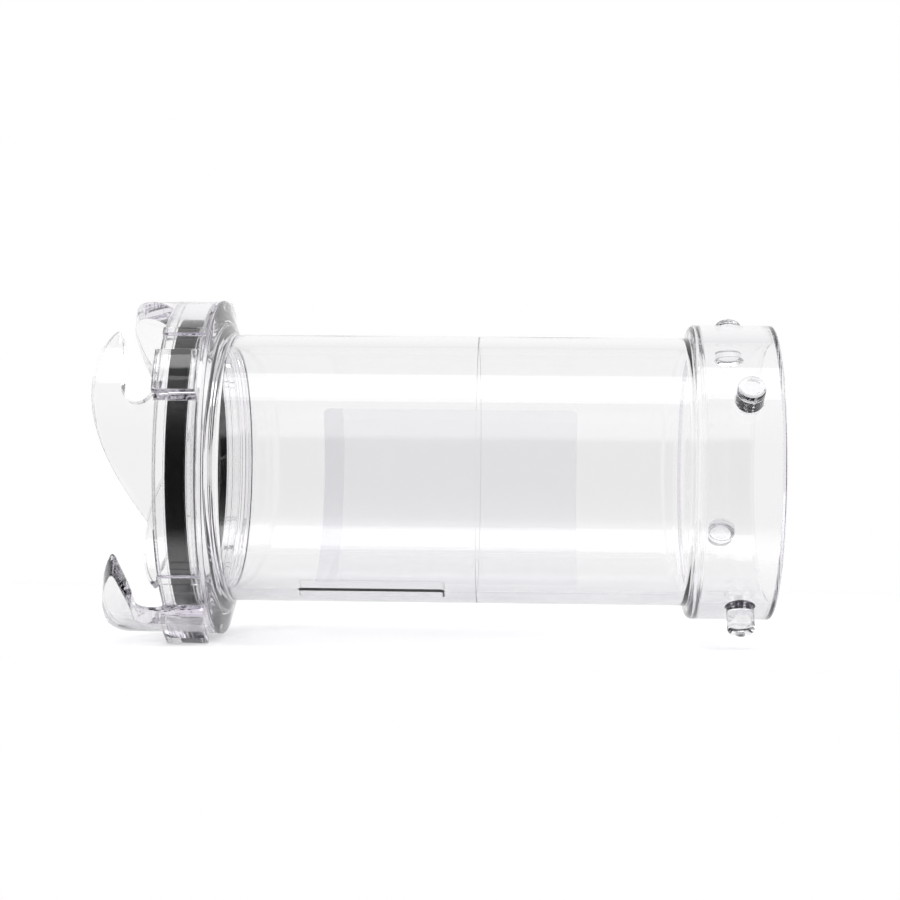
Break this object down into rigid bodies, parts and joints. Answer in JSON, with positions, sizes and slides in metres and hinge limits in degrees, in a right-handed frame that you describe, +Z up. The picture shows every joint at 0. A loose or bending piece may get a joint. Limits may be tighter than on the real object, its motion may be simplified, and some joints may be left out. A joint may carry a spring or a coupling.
{
  "type": "waste hose extender",
  "caption": "Clear tubular waste hose extender with a swivelling bayonet hook ring and gasket at one end and a lug collar at the other.",
  "frame": {"origin": "on the bore axis, half-way between the hook tips and the lug-end face", "axes": "+X along the bore towards the lug end; +Z up, with the first lug peg 27 degrees above the -Y side"},
  "size_m": [0.2032, 0.1074, 0.1074],
  "materials": {
    "clear_tube": "water-clear, polished",
    "clear_ring": "water-clear with a faint violet tint in thick sections",
    "black_rubber": "smooth black, slight sheen",
    "label_film": "thin blank film, matt"
  },
  "bodies": {
    "tube": {"hook_end_tube": "clear_tube", "lug_end_tube": "clear_tube", "gasket": "black_rubber", "label": "label_film"},
    "swivel_ring": {"bayonet_ring": "clear_ring"}
  },
  "joints": [
    {"name": "ring_swivel", "type": "hinge", "parent": "tube", "child": "swivel_ring", "pos_m": [-0.0711, 0, 0], "axis": [1, 0, 0], "continuous": true}
  ]
}
